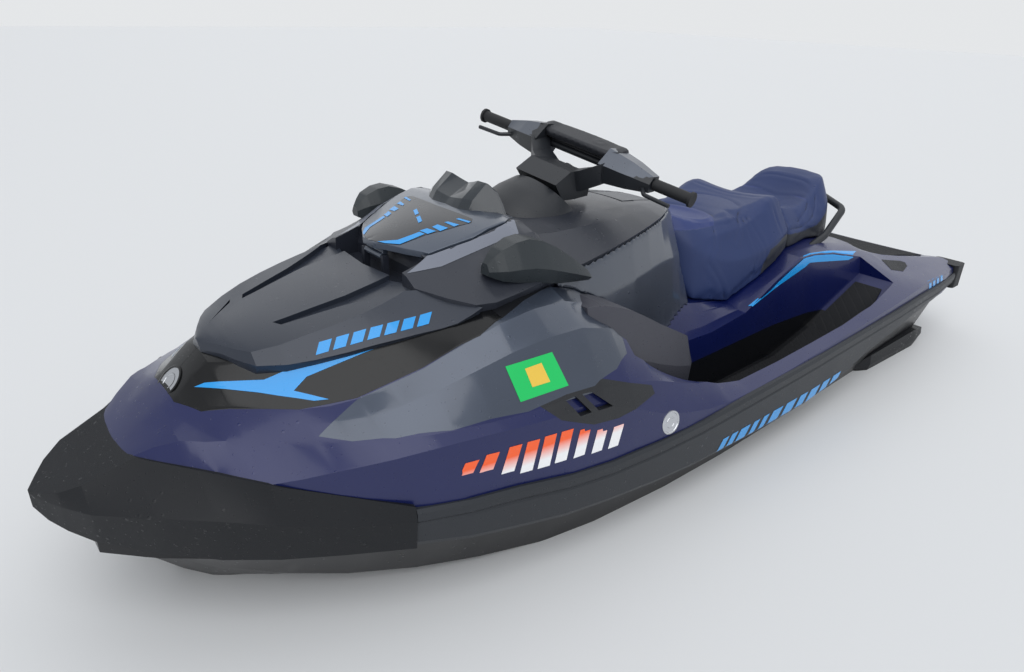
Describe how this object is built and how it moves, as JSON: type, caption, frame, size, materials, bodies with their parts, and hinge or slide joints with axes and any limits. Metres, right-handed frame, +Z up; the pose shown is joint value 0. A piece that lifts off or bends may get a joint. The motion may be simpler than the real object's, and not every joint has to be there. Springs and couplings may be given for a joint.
{
  "type": "personal watercraft",
  "caption": "Sit-astride three-seat personal watercraft with a vee hull, jet drive with reverse bucket, forked handlebar, tilting storage lid and a lift-off rear seat.",
  "frame": {"origin": "on the waterline, on the centreline, halfway along the craft", "axes": "+X to the bow, +Y to port, +Z up"},
  "size_m": [3.449, 1.2514, 1.1956],
  "materials": {
    "hull_gloss": "dark gelcoat",
    "navy_gloss": "metallic navy gelcoat",
    "charcoal_plastic": "moulded charcoal",
    "rail_plastic": "extruded charcoal",
    "gloss_black": "gloss black",
    "grey_gloss": "metallic grey",
    "pod_plastic": "grained dark grey",
    "smoked_shield": "smoked",
    "display_glass": "dark glass front",
    "seat_vinyl": "grained marine vinyl",
    "handle_black": "black moulding",
    "grip_rubber": "ribbed rubber",
    "mat_foam": "grooved foam",
    "cast_aluminium": "cast",
    "jet_black": "glass-filled nylon",
    "steel": "stainless"
  },
  "bodies": {
    "craft": {"bow_bumper": "charcoal_plastic", "cargo_anchors": "handle_black", "console": "charcoal_plastic", "deck": "navy_gloss", "driver_seat": "seat_vinyl", "engine": "cast_aluminium", "fender_port": "grey_gloss", "fender_starboard": "grey_gloss", "foot_mat_port": "mat_foam", "foot_mat_starboard": "mat_foam", "grab_handle": "handle_black", "hood": "charcoal_plastic", "hull": "hull_gloss", "inlet_panel_port": "gloss_black", "inlet_panel_starboard": "gloss_black", "intake_grate": "jet_black", "jet_pump": "cast_aluminium", "knee_pod_port": "pod_plastic", "knee_pod_starboard": "pod_plastic", "leg_shroud": "grey_gloss", "mirror_port": "charcoal_plastic", "mirror_starboard": "charcoal_plastic", "rail_port": "rail_plastic", "rail_starboard": "rail_plastic", "rear_mat": "mat_foam", "ride_plate": "jet_black", "sponson_port": "handle_black", "sponson_starboard": "handle_black", "steering_column": "charcoal_plastic", "stern_corner_port": "rail_plastic", "stern_corner_starboard": "rail_plastic", "vent_panel_port": "gloss_black", "vent_panel_starboard": "gloss_black"},
    "steering": {"handlebar": "handle_black", "bar_pad": "charcoal_plastic", "grip_port": "grip_rubber", "grip_starboard": "grip_rubber", "lever_port": "handle_black", "lever_starboard": "handle_black"},
    "storage_lid": {"front_lid": "charcoal_plastic", "windshield": "smoked_shield", "display": "display_glass"},
    "glove_box": {"glove_lid": "charcoal_plastic"},
    "rear_seat": {"passenger_seat": "seat_vinyl"},
    "nozzle": {"steering_nozzle": "jet_black"},
    "bucket": {"reverse_bucket": "jet_black"},
    "rotor": {"impeller": "steel"}
  },
  "joints": [
    {"name": "steering_turn", "type": "hinge", "parent": "craft", "child": "steering", "pos_m": [0.171, 0, 0.866], "axis": [-0.7314, 0, 0.682], "range_deg": [-36, 8]},
    {"name": "nozzle_turn", "type": "hinge", "parent": "craft", "child": "nozzle", "pos_m": [-1.5, 0, -0.092], "axis": [0, 0, 1], "range_deg": [-4.8, 21.6]},
    {"name": "bucket_swing", "type": "hinge", "parent": "craft", "child": "bucket", "pos_m": [-1.434, 0, -0.092], "axis": [0, 1, 0], "range_deg": [-62, 0]},
    {"name": "impeller_spin", "type": "hinge", "parent": "craft", "child": "rotor", "pos_m": [-1.17, 0, -0.092], "axis": [1, 0, 0], "continuous": true},
    {"name": "front_lid_open", "type": "hinge", "parent": "craft", "child": "storage_lid", "pos_m": [0.888, 0, 0.692], "axis": [0, 1, 0], "range_deg": [0, 60]},
    {"name": "glove_lid_open", "type": "hinge", "parent": "craft", "child": "glove_box", "pos_m": [0.024, 0, 0.692], "axis": [0, 1, 0], "range_deg": [0, 55]},
    {"name": "rear_seat_lift", "type": "slide", "parent": "craft", "child": "rear_seat", "axis": [0, 0, 1], "range_m": [0, 0.15]}
  ],
  "couplings": [
    {"joint": "nozzle_turn", "follows": "steering_turn", "ratio": -0.6}
  ]
}
